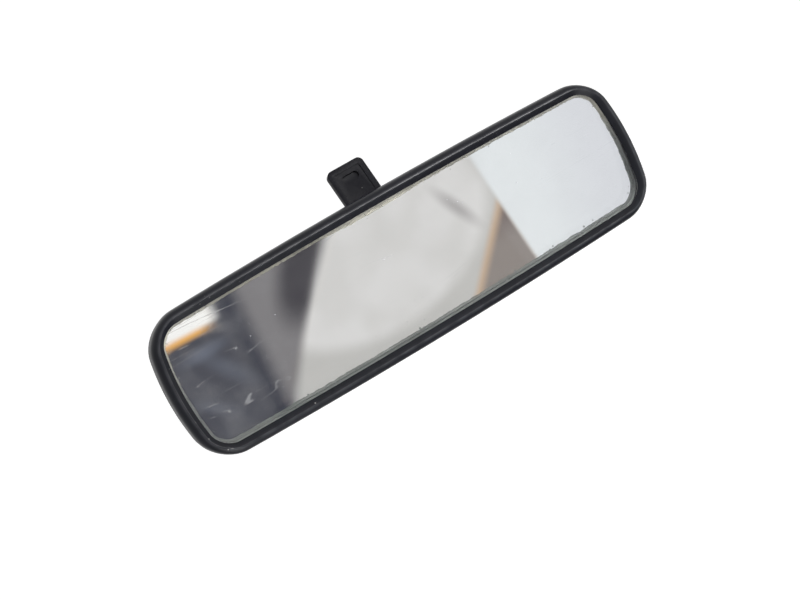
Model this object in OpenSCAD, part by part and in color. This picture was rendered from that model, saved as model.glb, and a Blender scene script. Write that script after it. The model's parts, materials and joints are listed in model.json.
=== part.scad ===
// Interior day/night rearview mirror on a windscreen button, with a ball joint and a dipping lever.
// +X is across the car, +Y is forward to the windscreen, +Z is up.
// The origin is the centre of the button's bonded face.

/* [Mirror head] */
// Overall width of the head
head_w = 240; // [200:1:280]
// Overall height of the head
head_h = 69; // [66:0.5:84]
// Depth of the head, from the front ridge to the flat back
head_depth = 31; // [30:0.5:36]
// Radius of the head's four corners
corner_r = 13.5; // [11:0.5:17]
// How far the top and bottom edges bow outwards
edge_bow = 2; // [0.5:0.1:3]
// How far the two ends bow outwards
end_bow = 5.1; // [3:0.1:7]
// Wall of the rear case
case_wall = 2.2; // [1.8:0.1:2.6]
// Radius of the opening in the back of the case
back_opening_r = 19; // [18:0.5:21]

/* [Bezel] */
// Width of the rim as seen from the front
rim_w = 5.4; // [4.8:0.1:7]
// Depth of the bezel's outer side
bezel_depth = 8; // [7:0.5:8.5]
// Height of the ridge in front of the glass
ridge_h = 2; // [1.5:0.1:3]
// How far the bezel lip reaches over the edge of the glass
lip_overlap = 1.2; // [0.8:0.1:1.4]

/* [Glass] */
// Thickness of the glass at its lower edge
glass_t = 2.4; // [2:0.1:3]
// Angle between the front and the rear of the glass
wedge_angle = 3.2; // [2.6:0.1:3.4]
// Refractive index of the glass
glass_index = 1.52; // [1.5:0.01:1.54]
// Width of the border that the silver leaves bare
bare_border = 2.6; // [2:0.1:3.5]
// Thickness of the film on the back
film_t = 0.45; // [0.3:0.05:0.6]
// Thickness of the foam pads
foam_t = 3; // [2.4:0.1:3.4]

/* [Ball joint] */
// Radius of the ball
ball_r = 7; // [6:0.1:7.2]
// Wall of the plastic liner round the ball
liner_wall = 1.2; // [1:0.1:1.4]
// Wall of the sprung steel cup round the liner
cup_wall = 1.3; // [1.1:0.1:1.5]
// Radius of the ball stud's neck
neck_r = 3.6; // [3:0.1:3.8]
// Outer radius of the socket
socket_r = 15.5; // [15:0.1:16]
// Radius of the thread of the socket screws
screw_r = 1.1; // [1:0.1:1.3]

/* [Dipping mechanism] */
// Distance of the dip hinge from the top edge of the head
hinge_down = 18.25; // [17:0.05:18.6]
// Radius of the dip hinge pin
hinge_pin_r = 1.5; // [1.25:0.05:1.75]
// Distance of the lever pin from the bottom edge of the head
lever_up = 8.25; // [8:0.05:9.5]
// Half of the lever's swing
lever_half = 18; // [15:1:20]
// Radius of the lever pin and of the crank pin
lever_pin_r = 1.25; // [1:0.05:1.4]
// Radius of the lever's hub
hub_r = 3.2; // [2.8:0.1:3.4]
// Width of the lever's tab
tab_w = 18.2; // [16:0.1:20]
// Length of the tab from the lever pin to its free end
tab_l = 24.2; // [22:0.1:29]
// Thickness of the tab
tab_t = 2.8; // [2.4:0.1:3]

/* [Foot and arm] */
// Angle between the windscreen and the horizontal
rake = 40; // [36:1:46]
// Distance that the ball stands behind the button
arm_reach = 54; // [52:1:64]
// Distance that the ball hangs below the button
arm_drop = 24; // [22:1:30]
// Width of the button on the glass
button_w = 20; // [17:0.5:22]
// Length of the button
button_l = 28; // [24:0.5:30]
// Thickness of the button
button_t = 4.5; // [4:0.1:5]
// Width of the shoe that slides over the button
shoe_w = 34; // [33:0.5:38]
// Thickness of the shoe, from the glass side to the cabin side
shoe_t = 11; // [10:0.5:13]
// Radius of the boss that holds the ball stud
boss_r = 8.5; // [7.5:0.1:8.8]
// Radius of the clamping screw
clamp_r = 2; // [1.5:0.1:2.4]

/* [Hidden] */
$fn = 48;

fit = 0.05;             // clearance of a running fit, on the radius
play = 0.5;             // clearance beside a part that turns
eps = 0.01;

// Head: y runs back from the front ridge, and z is measured from the ball.
base_w = head_w - 2 * end_bow;
base_h = head_h - 2 * edge_bow;
ball_y = 21;            // depth of the ball in the head
ball_at = [0, -arm_reach, -arm_drop];
head_at = ball_at - [0, ball_y, 0];

// Bezel and glass
lip_y = ridge_h + 0.1;                      // front face of the glass
case_inset = 0.3;                           // the case stands in from the bezel's outline
case_swell = 0.4;                           // and narrows by this much before it rounds
glass_inset = rim_w - lip_overlap;          // outline of the glass, measured in from the head's outline
lap_in = glass_inset - 0.2;                 // inner and outer faces of the bezel's lap joint in the case
lap_out = case_inset + case_swell + case_wall + 0.2;
lap_l = 2.2;
glass_half_h = base_h / 2 - glass_inset;
silver_t = 0.15;
film_inset = glass_inset + 0.4;
pad_w = 55;
pad_h = 44;
pad_x = 45;                                 // inner end of each foam pad
glass_mid_t = glass_t + glass_half_h * tan(wedge_angle);
dip_angle = glass_index * wedge_angle;      // turn that puts the front face where the silver was

// Case
case_front = bezel_depth + 0.2;
straight_y = 9.5;                           // depth at which the back starts to round
back_inset = 22;                            // how far the flat back is set in
rib_t = 1.6;

// Ball joint
liner_in = ball_r + fit;
liner_out = liner_in + liner_wall;
cup_in = liner_out + fit;
cup_out = cup_in + cup_wall;
socket_in = cup_out + fit;
liner_open = 52;                            // half angle of the liner's mouth
cup_open = 56;
ring_t = 6;
ring_front = ball_y + 0.5;
ring_back = ring_front + ring_t;
screw_circle_r = (socket_in + socket_r) / 2;
screw_l = 8;
screw_head_r = 1.9;
screw_head_t = 1.5;

// Dipping mechanism
hinge_y = 15;
hinge_z = head_h / 2 - hinge_down;
lever_y = 14;
lever_z = head_h / 2 - lever_up;
bracket_front = 9.4;
bracket_t = 2;
bracket_half_w = 30;
knuckle_r = hinge_pin_r + 1.8;
ear_t = 4;
ear_x = bracket_half_w + play;              // inner face of each hinge ear
crank_r = (hinge_z + lever_z) * sin(dip_angle) / (2 * sin(lever_half) + sin(dip_angle) * cos(lever_half));
crank_y = lever_y - crank_r * sin(lever_half);
crank_end_r = lever_pin_r + 1.1;
bracket_low = -(lever_z - crank_r - crank_end_r - 4);
hub_half_w = 10.3;
arm_x = 7;                                  // inner face of each crank arm
arm_t = 3;
fork_x = hub_half_w + 0.9;
fork_t = 3;
fork_low = -(lever_z - lever_pin_r - 1.5);
lever_ear_x = fork_x + fork_t + 1.2;
lever_ear_t = 3;
lap_cut_x = lever_ear_x + lever_ear_t + 0.5;    // the lap joint stops short of the lever's ears
slot_half_w = tab_w / 2 + 1;
slot_reach = (lever_up + play) * tan(lever_half) + tab_t / 2 / cos(lever_half) + play;
tab_corner_r = 2.6;
grip_l = 8.2;
grip_w = 3.5;
grip_up = 6.4;                              // height of the grip above the tab's free end
grip_deep = 1.2;
panel_margin = 2.6;
panel_deep = 0.4;
spring_w = 6;
spring_t = 0.5;
spring_y = 23;                              // depth at which the spring stands in its holder
stop_z = -12;
stop_x = 22;
stop_r = 2.6;
stop_boss_y = 21;

// Foot
shoe_gap = 0.6;                             // the shoe stays clear of the windscreen
shoe_end = 3;
shoe_l = button_l + shoe_end + 2;
bevel = 2.5;                                // each side of the button widens by this much
slide_fit = 0.1;
boss_near = 16;                             // distance from the ball to the boss
boss_l = 14;
shank_r = 3;
shank_l = 12;
collar_r = 6;
collar_t = 2;
clamp_y = button_l / 2 - 2.5;

plastic = [0.10, 0.10, 0.12];
dark_plastic = [0.07, 0.07, 0.08];
zinc = [0.16, 0.16, 0.17];
steel = [0.66, 0.67, 0.69];
acetal = [0.90, 0.89, 0.84];

// ---- Placing -------------------------------------------------------------------------------------

module in_head() translate(head_at) children();
module on_screen() rotate([-rake, 0, 0]) children();
module both_sides() {
    children();
    mirror([1, 0, 0]) children();
}
// A cylinder along +X from x0 to x1
module bar(r, x0, x1) translate([x0, 0, 0]) rotate([0, 90, 0]) cylinder(r = r, h = x1 - x0);
// A cylinder along +Y from y0 to y1
module post(r, y0, y1) translate([0, y0, 0]) rotate([-90, 0, 0]) cylinder(r = r, h = y1 - y0);
// A box between two corners
module block(a, b) translate(a) cube(b - a);
// Extrudes a drawing in X and Z from y0 back to y1
module plate_xz(y0, y1) translate([0, y1, 0]) rotate([90, 0, 0]) linear_extrude(height = y1 - y0) children();
// Extrudes a drawing in Y and Z from x0 to x1
module plate_yz(x0, x1) translate([x0, 0, 0]) rotate([90, 0, 90]) linear_extrude(height = x1 - x0) children();
// A flat shape with round corners
module round_rect(w, h, r) union() {
    square([w - 2 * r, h], center = true);
    square([w, h - 2 * r], center = true);
    for (x = [-1, 1], y = [-1, 1]) translate([x * (w / 2 - r), y * (h / 2 - r)]) circle(r = r);
}

// ---- Outline of the head -------------------------------------------------------------------------

corner_steps = 9;
long_steps = 8;
short_steps = 4;
function arc(cx, cz, r, start) = [for (i = [0 : corner_steps])
    [cx + r * cos(start + 90 * i / corner_steps), cz + r * sin(start + 90 * i / corner_steps)]];
function between(a, b, n) = [for (i = [1 : n - 1]) a + (b - a) * i / n];
// A rectangle with round corners, counter-clockwise, with points along its sides
function rounded(w, h, r) = let (x = w / 2 - r, z = h / 2 - r) concat(
    arc(x, z, r, 0), between([x, h / 2], [-x, h / 2], long_steps),
    arc(-x, z, r, 90), between([-w / 2, z], [-w / 2, -z], short_steps),
    arc(-x, -z, r, 180), between([-x, -h / 2], [x, -h / 2], long_steps),
    arc(x, -z, r, 270), between([w / 2, -z], [w / 2, z], short_steps));
// Bows the sides outwards
function bowed(p, edge) = [
    p[0] * (1 + 2 * end_bow / base_w * (1 - pow(2 * p[1] / base_h, 2))),
    p[1] * (1 + 2 * edge / base_h * (1 - pow(2 * p[0] / base_w, 2)))];
function outline(inset, r, edge = edge_bow) = let (limit = base_h / 2 - inset - 2)
    [for (p = rounded(base_w - 2 * inset, base_h - 2 * inset, min(r, limit))) bowed(p, edge)];
function inset_outline(d) = outline(d, max(corner_r - d, 4));

// A solid through rings of the same number of points. Each ring is [depth, outline].
module loft(rings) {
    n = len(rings[0][1]);
    last = len(rings) - 1;
    points = [for (ring = rings, p = ring[1]) [p[0], ring[0], p[1]]];
    sides = [for (k = [0 : last - 1], i = [0 : n - 1]) let (j = (i + 1) % n)
        each [[k * n + i, k * n + j, (k + 1) * n + j], [k * n + i, (k + 1) * n + j, (k + 1) * n + i]]];
    front = [[for (i = [n - 1 : -1 : 0]) i]];
    back = [[for (i = [0 : n - 1]) last * n + i]];
    polyhedron(points = points, faces = concat(sides, front, back), convexity = 6);
}
// A closed ring whose section is a list of [inset, depth]
module frame_loft(section) {
    m = len(section);
    rings = [for (s = section) inset_outline(s[0])];
    n = len(rings[0]);
    points = [for (k = [0 : m - 1], p = rings[k]) [p[0], section[k][1], p[1]]];
    faces = [for (k = [0 : m - 1], i = [0 : n - 1]) let (j = (i + 1) % n, q = (k + 1) % m)
        each [[k * n + i, k * n + j, q * n + j], [k * n + i, q * n + j, q * n + i]]];
    polyhedron(points = points, faces = faces, convexity = 8);
}

// ---- Windscreen foot -----------------------------------------------------------------------------

// Section of the button, grown by g for the channel that it slides in
module dovetail(g) polygon([
    [-button_w / 2 - g, g], [button_w / 2 + g, g],
    [button_w / 2 + bevel + g, -button_t - g], [-button_w / 2 - bevel - g, -button_t - g]]);

module mounting_button() color(steel) on_screen()
    translate([0, button_l / 2, 0]) rotate([90, 0, 0]) linear_extrude(height = button_l) dovetail(0);

module foot_arm() color(zinc) difference() {
    union() {
        on_screen() translate([0, shoe_l / 2 - button_l / 2 - shoe_end, -shoe_t])
            linear_extrude(height = shoe_t - shoe_gap) round_rect(shoe_w, shoe_l, 6);
        hull() {
            on_screen() translate([0, -4, -shoe_t]) linear_extrude(height = 1) round_rect(shoe_w - 12, 20, 5);
            translate(ball_at) post(boss_r - 1, boss_near + 1, boss_near + boss_l);
        }
        translate(ball_at) post(boss_r, boss_near, boss_near + boss_l - 2);
    }
    on_screen() translate([0, shoe_l, 0]) rotate([90, 0, 0])
        linear_extrude(height = shoe_l + button_l / 2) dovetail(slide_fit);
    on_screen() translate([0, clamp_y, -shoe_t - 1]) cylinder(r = clamp_r, h = shoe_t);
    translate(ball_at) post(shank_r, boss_near - 1, boss_near + shank_l);
}

module clamp_screw() color(steel) on_screen() translate([0, clamp_y, -shoe_t]) difference() {
    cylinder(r = clamp_r, h = shoe_t - button_t);
    translate([0, 0, -eps]) cylinder(r = clamp_r * 0.55, h = 2.5, $fn = 6);
}

module ball_stud() color(steel) translate(ball_at) union() {
    sphere(r = ball_r);
    post(neck_r, 0, boss_near - collar_t);
    post(collar_r, boss_near - collar_t, boss_near);
    post(shank_r, boss_near - eps, boss_near + shank_l);
}

// ---- Ball joint ----------------------------------------------------------------------------------

// A ball-shaped shell, open to the back by a cone, with slots that let it spring
module sprung_shell(r_in, r_out, open, slots) rotate([-90, 0, 0]) difference() {
    rotate_extrude() intersection() {
        difference() {
            circle(r = r_out);
            circle(r = r_in);
        }
        polygon([
            [0, 0], [2 * r_out * sin(open), 2 * r_out * cos(open)],
            [2 * r_out, -2 * r_out], [0, -2 * r_out]]);
    }
    for (i = [0 : slots - 1]) rotate([0, 0, i * 360 / slots])
        block([-0.5, r_in / 3, 0], [0.5, 2 * r_out, r_out]);
}

module ball_liner() color(acetal) translate(ball_at) sprung_shell(liner_in, liner_out, liner_open, 4);
module clamp_cup() color(steel) translate(ball_at) sprung_shell(cup_in, cup_out, cup_open, 6);

module ball_room(r) translate([0, ball_y, 0]) rotate([-90, 0, 0]) sphere(r = r);
module socket_screw_places() for (i = [0 : 2])
    rotate([0, 60 + i * 120, 0]) translate([0, 0, screw_circle_r]) children();

module socket_ring() color(steel) in_head() difference() {
    post(socket_r, ring_front, ring_back);
    ball_room(socket_in);
    translate([0, ball_y, 0]) rotate([-90, 0, 0]) cylinder(r1 = 0, r2 = 30, h = 30 / tan(cup_open));
    socket_screw_places() post(screw_r + fit, ring_front - 1, ring_back + 1);
}

module socket_screws() color(steel) in_head() socket_screw_places() difference() {
    union() {
        post(screw_r, ring_back - screw_l, ring_back + eps);
        post(screw_head_r, ring_back, ring_back + screw_head_t);
    }
    for (a = [0, 90]) rotate([0, a, 0])
        block([-1.2, ring_back + screw_head_t - 0.8, -0.25], [1.2, ring_back + screw_head_t + 1, 0.25]);
}

// ---- Pivot bracket -------------------------------------------------------------------------------

module fork_leg() difference() {
    block([fork_x, bracket_front, fork_low], [fork_x + fork_t, 16.5, -8]);
    translate([0, crank_y, crank_top]) bar(lever_pin_r + 0.12, fork_x - 1, fork_x + fork_t + 1);
    block([fork_x - 1, crank_y - lever_pin_r - 0.12, fork_low - 1],
        [fork_x + fork_t + 1, crank_y + lever_pin_r + 0.12, crank_top]);
}
crank_top = -lever_z + crank_r + 0.8;       // upper end of the fork's slot

module pivot_bracket() color(dark_plastic) in_head() difference() {
    union() {
        block([-bracket_half_w, bracket_front, bracket_low],
            [bracket_half_w, bracket_front + bracket_t, hinge_z]);
        post(socket_r, bracket_front, ring_front);
        translate([0, hinge_y, hinge_z]) bar(knuckle_r, -bracket_half_w, bracket_half_w);
        both_sides() block([bracket_half_w - 3, bracket_front, bracket_low],
            [bracket_half_w, hinge_y, hinge_z]);
        both_sides() fork_leg();
    }
    ball_room(socket_in);
    translate([0, hinge_y, hinge_z]) bar(hinge_pin_r + fit, -bracket_half_w - 1, bracket_half_w + 1);
    socket_screw_places() post(screw_r, ring_back - screw_l, ring_front + 1);
    both_sides() translate([stop_x, 0, stop_z]) post(1, bracket_front - 1, bracket_front + 1);
}

// Rubber studs on the front of the bracket, which rest on the film in the day position
module day_stop_pads() color(dark_plastic) in_head() both_sides() translate([stop_x, 0, stop_z])
    union() {
        post(stop_r, film_back(stop_z + stop_r) + 0.2, bracket_front);
        post(1, bracket_front - eps, bracket_front + 1);
    }

// ---- Glass ---------------------------------------------------------------------------------------

// Depth of the back of the film at height z
function film_back(z) = lip_y + glass_mid_t + z * tan(wedge_angle) + silver_t + film_t;

// A slab along the rear of the glass, from a to b behind it
module rear_slab(a, b) translate([0, lip_y + glass_mid_t, 0]) rotate([-wedge_angle, 0, 0])
    block([-head_w, a, -head_h], [head_w, b, head_h]);

module prism_glass() color([0.75, 0.85, 0.82, 0.5]) in_head() intersection() {
    plate_xz(lip_y, lip_y + 20) polygon(inset_outline(glass_inset));
    rear_slab(-20, 0);
}
module silver_layer() color([0.92, 0.93, 0.95]) in_head() intersection() {
    plate_xz(0, 20) polygon(outline(glass_inset + bare_border, corner_r - glass_inset, edge_bow / 2));
    rear_slab(0, silver_t);
}
module backing_film() color([0.80, 0.79, 0.72]) in_head() intersection() {
    plate_xz(0, 20) polygon(inset_outline(film_inset));
    rear_slab(silver_t, silver_t + film_t);
}
module foam_pads() color([0.25, 0.25, 0.26]) in_head() intersection() {
    both_sides() block([pad_x, 0, -pad_h / 2], [pad_x + pad_w, 20, pad_h / 2]);
    rear_slab(silver_t + film_t, silver_t + film_t + foam_t);
}

// ---- Case and bezel ------------------------------------------------------------------------------

// Rings of the case from its front edge to the flat back, set in by wall
function case_rings(wall) = concat(
    [[case_front - (wall > 0 ? 1 : 0), outline(case_inset + wall, corner_r - case_inset - wall)]],
    [for (a = [0 : 15 : 90]) [
        straight_y + (head_depth - wall - straight_y) * sin(a),
        outline(case_inset + case_swell + wall + (back_inset - case_inset - case_swell) * (1 - cos(a)),
            corner_r - case_inset - wall)]]);

// Cuts a piece off inside the case's wall
module in_case() intersection() {
    loft(case_rings(case_wall / 2));
    children();
}
// Ribs that press on the foam
module foam_ribs() both_sides() for (share = [0.25, 0.75]) in_case() intersection() {
    translate([pad_x + pad_w * share, 0, 0])
        block([-rib_t / 2, 0, -pad_h / 2], [rib_t / 2, head_depth, pad_h / 2]);
    rear_slab(silver_t + film_t + foam_t, 2 * head_depth);
}
// Ears that hold the dip hinge pin
module hinge_ears() both_sides() in_case() block(
    [ear_x, hinge_y - knuckle_r, hinge_z - knuckle_r], [ear_x + ear_t, head_depth, hinge_z + knuckle_r]);
// Ears that hold the lever pin
module lever_ears() both_sides() in_case() block([lever_ear_x, lever_y - hub_r, -head_h / 2],
    [lever_ear_x + lever_ear_t, lever_y + hub_r, -lever_z + hub_r]);
module spring_holder() in_case() block([-spring_w / 2 - 1.5, spring_y - 2, -head_h / 2],
    [spring_w / 2 + 1.5, spring_y + 2, -lever_z + 1]);
module stop_bosses() both_sides() in_case() translate([stop_x, 0, stop_z])
    post(stop_r + 1, stop_boss_y, head_depth);

module case_shell() color(plastic) in_head() difference() {
    union() {
        difference() {
            loft(case_rings(0));
            loft(case_rings(case_wall));
            post(back_opening_r, straight_y, head_depth + 5);
            // slot for the tab
            block([-slot_half_w, lever_y - slot_reach, -head_h],
                [slot_half_w, lever_y + slot_reach, -lever_z - hub_r]);
        }
        foam_ribs();
        hinge_ears();
        lever_ears();
        spring_holder();
        stop_bosses();
    }
    translate([0, hinge_y, hinge_z]) bar(hinge_pin_r, -ear_x - ear_t - 1, ear_x + ear_t + 1);
    translate([0, lever_y, -lever_z])
        bar(lever_pin_r, -lever_ear_x - lever_ear_t - 1, lever_ear_x + lever_ear_t + 1);
    // slot for the detent spring
    block([-spring_w / 2 - 0.1, spring_y - spring_t / 2, -spring_foot],
        [spring_w / 2 + 0.1, spring_y + spring_t / 2, -lever_z + 2]);
}
spring_foot = lever_z + 1;                  // depth of the spring's foot below the ball

module bezel() color(plastic) in_head() difference() {
    frame_loft([
        [0.5, bezel_depth], [0.1, bezel_depth - 0.5], [0, ridge_h + 2], [0.5, ridge_h],
        [1.4, ridge_h * 0.3], [2.6, 0], [3.6, ridge_h * 0.2], [rim_w, ridge_h],
        [rim_w, lip_y], [lap_in, lip_y], [lap_in, bezel_depth + lap_l],
        [lap_out, bezel_depth + lap_l], [lap_out, bezel_depth]]);
    block([-lap_cut_x, bezel_depth, -head_h], [lap_cut_x, bezel_depth + lap_l + 1, 0]);
}

module dip_hinge_pin() color(steel) in_head() translate([0, hinge_y, hinge_z])
    bar(hinge_pin_r, -ear_x - ear_t, ear_x + ear_t);

module lever_pin() color(steel) in_head() translate([0, lever_y, -lever_z])
    bar(lever_pin_r, -lever_ear_x - lever_ear_t, lever_ear_x + lever_ear_t);

// Rubber buttons on the back wall, which the bracket meets in the night position
module night_stop_pads() color(dark_plastic) in_head() both_sides() translate([stop_x, 0, stop_z])
    post(stop_r, bracket_front + bracket_t + 0.3 + (hinge_z - stop_z + stop_r) * sin(dip_angle),
        stop_boss_y);

// ---- Lever ---------------------------------------------------------------------------------------

// The lever's own frame: its pin is the origin, and the tab hangs straight down
module in_lever() in_head() translate([0, lever_y, -lever_z]) rotate([lever_half, 0, 0]) children();

module tab_shape(margin) translate([0, -tab_l / 2])
    round_rect(tab_w - 2 * margin, tab_l - 2 * margin, max(tab_corner_r - margin, 0.8));

module dip_lever() color(plastic) in_lever() difference() {
    union() {
        bar(hub_r, -hub_half_w, hub_half_w);
        plate_xz(-tab_t / 2, tab_t / 2) tab_shape(0);
        both_sides() plate_yz(arm_x, arm_x + arm_t) union() {
            translate([0, crank_r]) circle(r = crank_end_r);
            translate([-crank_end_r, 0]) square([2 * crank_end_r, crank_r]);
        }
    }
    bar(lever_pin_r + fit, -tab_w, tab_w);
    translate([0, 0, crank_r]) bar(lever_pin_r, -tab_w, tab_w);
    // sunk panel and finger grip on the driver's side
    plate_xz(-tab_t / 2 - 1, -tab_t / 2 + panel_deep) intersection() {
        tab_shape(panel_margin);
        translate([0, -tab_l - hub_r]) square([2 * tab_w, 2 * tab_l], center = true);
    }
    translate([0, 0, -tab_l + grip_up]) plate_xz(-tab_t / 2 - 1, -tab_t / 2 + panel_deep + grip_deep)
        round_rect(grip_l, grip_w, grip_w / 2 - eps);
    // two notches for the detent spring
    for (a = [0, 2 * lever_half]) rotate([detent_angle - lever_half + a, 0, 0])
        translate([0, hub_r + 0.35, 0]) bar(0.9, -spring_w / 2 - 0.3, spring_w / 2 + 0.3);
}
detent_angle = 32;                          // where the spring meets the hub, above the horizontal

module crank_pin() color(steel) in_lever() translate([0, 0, crank_r])
    bar(lever_pin_r, -fork_x - fork_t, fork_x + fork_t);

// Flat spring: it stands in its holder, hooks over, and its rounded tip sits in a notch of the hub
module detent_spring() color(steel) in_head() {
    tip_y = lever_y + (hub_r + 0.35) * cos(detent_angle);
    tip_z = -lever_z + (hub_r + 0.35) * sin(detent_angle);
    path = [[spring_y, -spring_foot], [spring_y, -lever_z + 2.5], [spring_y - 1.5, -lever_z + 4.2],
        [spring_y - 3.5, -lever_z + 4.2], [tip_y, tip_z]];
    intersection() {
        plate_yz(-spring_w / 2, spring_w / 2) union() {
            for (i = [0 : len(path) - 2]) strip(path[i], path[i + 1], spring_t);
            for (i = [1 : len(path) - 2]) translate(path[i]) circle(r = spring_t / 2);
            translate(path[len(path) - 1]) circle(r = spring_t / 2 + 0.15);
        }
        block([-spring_w, 0, -spring_foot], [spring_w, head_depth, 0]);
    }
}
module strip(a, b, t) translate(a) rotate(atan2(b[1] - a[1], b[0] - a[0]))
    translate([0, -t / 2]) square([norm(b - a), t]);

mounting_button();
foot_arm();
clamp_screw();
ball_stud();
ball_liner();
clamp_cup();
pivot_bracket();
socket_ring();
socket_screws();
day_stop_pads();
case_shell();
bezel();
prism_glass();
silver_layer();
backing_film();
foam_pads();
dip_hinge_pin();
lever_pin();
detent_spring();
night_stop_pads();
dip_lever();
crank_pin();
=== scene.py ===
"""Interior day and night mirror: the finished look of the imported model, one operator for each group."""

import json
import math

import bmesh
import bpy
from mathutils import Matrix, Vector


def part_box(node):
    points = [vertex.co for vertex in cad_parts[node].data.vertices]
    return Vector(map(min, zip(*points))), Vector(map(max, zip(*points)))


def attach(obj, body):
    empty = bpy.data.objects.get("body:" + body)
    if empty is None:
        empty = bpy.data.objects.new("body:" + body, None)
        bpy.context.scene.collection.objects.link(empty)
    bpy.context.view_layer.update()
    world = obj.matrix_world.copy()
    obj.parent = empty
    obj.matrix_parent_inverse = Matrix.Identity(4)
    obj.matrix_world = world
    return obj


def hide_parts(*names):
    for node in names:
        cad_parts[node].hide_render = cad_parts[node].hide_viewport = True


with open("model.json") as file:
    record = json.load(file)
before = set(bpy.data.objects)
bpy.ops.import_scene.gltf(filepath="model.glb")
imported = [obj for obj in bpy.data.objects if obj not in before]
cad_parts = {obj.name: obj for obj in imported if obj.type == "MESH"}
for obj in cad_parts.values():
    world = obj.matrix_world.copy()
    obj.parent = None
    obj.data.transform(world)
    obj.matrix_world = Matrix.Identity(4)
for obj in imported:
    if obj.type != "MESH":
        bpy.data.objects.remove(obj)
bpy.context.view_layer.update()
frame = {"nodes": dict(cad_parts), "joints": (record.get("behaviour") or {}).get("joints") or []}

bl_info = {
    "name": "Day and Night Mirror",
    "version": (1, 0, 0),
    "blender": (4, 5, 0),
    "location": "View3D > Sidebar > Mirror",
    "description": "Builds the rim, case, prism glass, lever, ball joint and foot of an interior mirror",
    "category": "Mesh",
}

MM = 0.001
GLASS_INDEX = 1.52

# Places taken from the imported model
RIM_LOW, RIM_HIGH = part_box("bezel")
HEAD = Vector(((RIM_LOW.x + RIM_HIGH.x) / 2, RIM_LOW.y, (RIM_LOW.z + RIM_HIGH.z) / 2))
HEAD_W = RIM_HIGH.x - RIM_LOW.x
HEAD_H = RIM_HIGH.z - RIM_LOW.z
HEAD_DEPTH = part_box("case_shell")[1].y - HEAD.y
GLASS_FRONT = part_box("prism_glass")[0].y - HEAD.y
JOINTS = {joint["name"]: Vector(joint["pos_m"]) for joint in frame["joints"]}
BALL = JOINTS["head_tilt"]
HINGE = JOINTS["dip"] - HEAD
LEVER = JOINTS["lever_turn"] - HEAD

# Fineness of the loops round the head
CORNER_STEPS = 12
LONG_CUTS = 47
SHORT_CUTS = 13


# ---- What a user would change ---------------------------------------------------------------------

def length(label, text, default):
    """A size in millimetres, shown in the scene's own unit."""
    return bpy.props.FloatProperty(
        name=label, description=text, default=default * MM, min=0.0, unit="LENGTH", subtype="DISTANCE")


def colour(label, text, default):
    """A linear colour."""
    return bpy.props.FloatVectorProperty(
        name=label, description=text, default=default, size=3, min=0.0, max=1.0, subtype="COLOR")


class MirrorSizes(bpy.types.PropertyGroup):
    """Sizes of the head that the finished pieces share."""
    corner_radius: length("Corner radius", "Radius of the head's four corners", 13.5)
    edge_bow: length("Edge bow", "How far the top and bottom edges bow outwards", 2.0)
    end_bow: length("End bow", "How far the two ends bow outwards", 5.1)
    rim_width: length("Rim width", "Width of the rim as seen from the front", 5.4)
    ridge: length("Ridge", "Height of the rim's ridge in front of the glass", 2.0)
    rim_depth: length("Rim depth", "Depth of the rim's outer side", 8.0)
    glass_inset: length("Glass inset", "Distance from the head's outline to the edge of the glass", 4.2)
    wall: length("Wall", "Wall of the rear case", 2.2)
    opening: length("Back opening", "Radius of the opening in the back of the case", 19.0)
    back_inset: length("Back inset", "How far the flat back is set in from the outline", 22.0)
    straight: length("Straight side", "Depth at which the case starts to round", 9.5)
    bare_top: length("Bare border above", "Width of the border without silver at the thick edge", 3.0)
    bare_low: length("Bare border below", "Width of the border without silver at the thin edge", 2.3)
    wedge: bpy.props.FloatProperty(
        name="Wedge", description="Angle between the front of the glass and the silver",
        default=math.radians(3.2), min=0.0, max=0.1, unit="ROTATION", subtype="ANGLE")


class MirrorColours(bpy.types.PropertyGroup):
    """Colours of the finishes."""
    rim: colour("Rim", "Satin plastic of the rim", (0.0075, 0.008, 0.0115))
    case: colour("Case", "Grained plastic of the rear case", (0.010, 0.010, 0.012))
    lever: colour("Lever", "Plastic of the dipping lever", (0.011, 0.011, 0.014))
    nylon: colour("Bracket", "Glass-filled nylon of the pivot bracket", (0.018, 0.018, 0.020))
    zinc: colour("Foot", "Black paint of the cast foot", (0.014, 0.014, 0.015))
    steel: colour("Steel", "Bare and zinc-plated steel", (0.52, 0.53, 0.55))
    acetal: colour("Liner", "Natural acetal of the ball liner", (0.72, 0.70, 0.62))
    rubber: colour("Rubber", "Rubber of the stops", (0.012, 0.012, 0.012))
    foam: colour("Foam", "Foam behind the glass", (0.045, 0.045, 0.05))
    film: colour("Film", "Safety film behind the glass", (0.50, 0.475, 0.40))
    glass: colour("Glass", "Body of the glass", (0.985, 0.996, 0.990))
    silver: colour("Silver", "Silver behind the glass", (0.95, 0.945, 0.94))
    floor: colour("Floor", "Floor and backdrop", (0.96, 0.96, 0.96))


# ---- Mesh helpers ----------------------------------------------------------------------------------

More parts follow.
